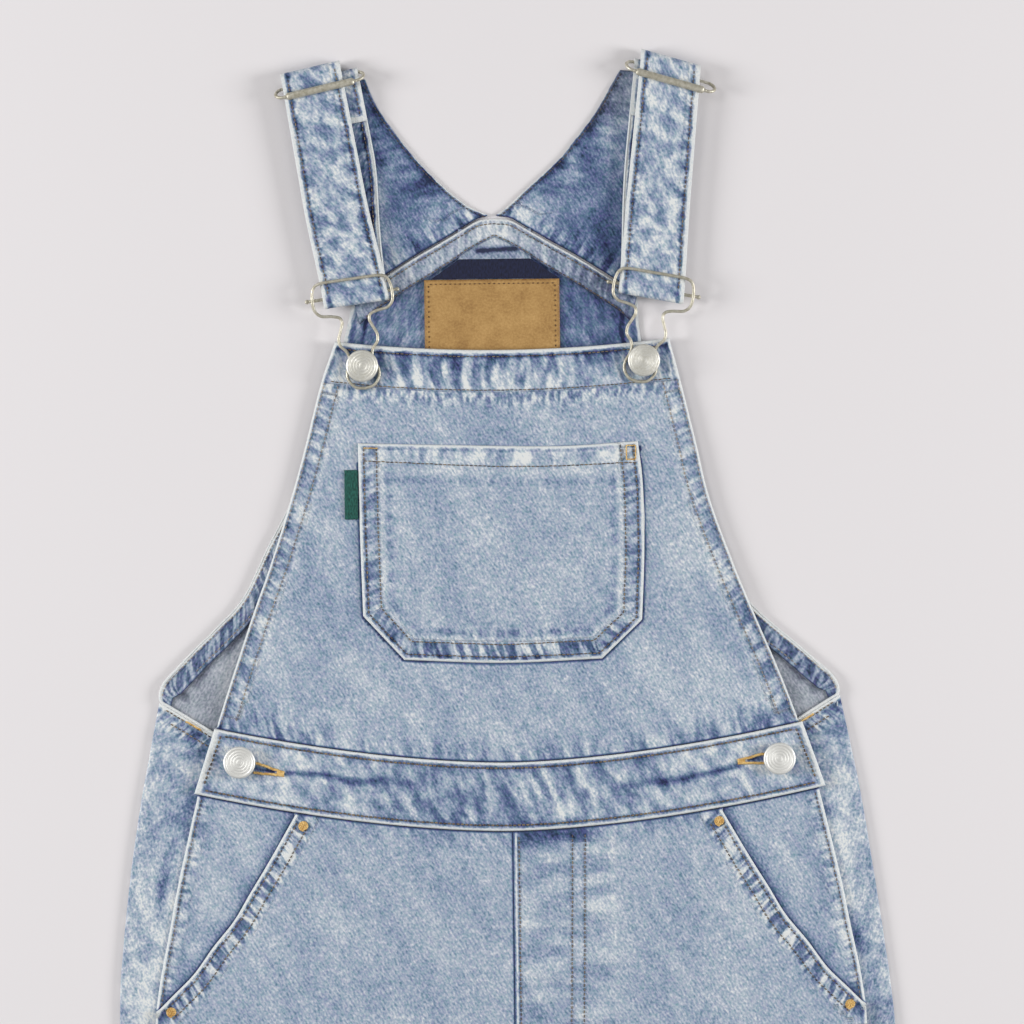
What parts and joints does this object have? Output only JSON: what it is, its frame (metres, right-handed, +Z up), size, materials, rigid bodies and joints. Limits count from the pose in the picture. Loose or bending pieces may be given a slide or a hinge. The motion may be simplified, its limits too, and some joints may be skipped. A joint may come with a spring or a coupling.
{
  "type": "denim dungarees",
  "caption": "Light-wash denim dungarees laid flat on their back, with a pocketed bib, a buttoned front waistband, slanted hip pockets and buckled straps folded over at the shoulders.",
  "frame": {"origin": "centre of the laid garment's outline, on the surface that it lies on", "axes": "+Y from the hems to the shoulder folds, +X to the right as seen from above, +Z up from the surface"},
  "size_m": [0.5236, 1.4878, 0.0125],
  "materials": {
    "denim": "light-wash twill, worn pale at the edges",
    "denim_inside": "darker blue inside of the twill",
    "navy_tape": "smooth navy tape",
    "leather": "bare tan, with a stitched edge",
    "green_tab": "plain dark green woven tab",
    "nickel": "pale satin nickel"
  },
  "bodies": {
    "root": {"back_left": "denim", "back_right": "denim", "front_left": "denim", "front_right": "denim", "pocket_bearer_left": "denim", "pocket_bearer_right": "denim", "waistband": "denim", "bib_panel": "denim", "bib_top_band": "denim", "bib_pocket": "denim", "yoke_band": "denim", "strap_left": "denim", "strap_right": "denim", "armhole_facing_left": "denim_inside", "armhole_facing_right": "denim_inside", "wing_left": "denim_inside", "wing_right": "denim_inside", "hanger_tape": "navy_tape", "leather_patch": "leather", "pocket_tab": "green_tab", "slider_left": "nickel", "slider_right": "nickel", "buckle_left": "nickel", "buckle_right": "nickel", "buckle_bar_left": "nickel", "buckle_bar_right": "nickel", "bib_button_left": "nickel", "bib_button_right": "nickel", "waist_button_left": "nickel", "waist_button_right": "nickel"}
  },
  "joints": []
}
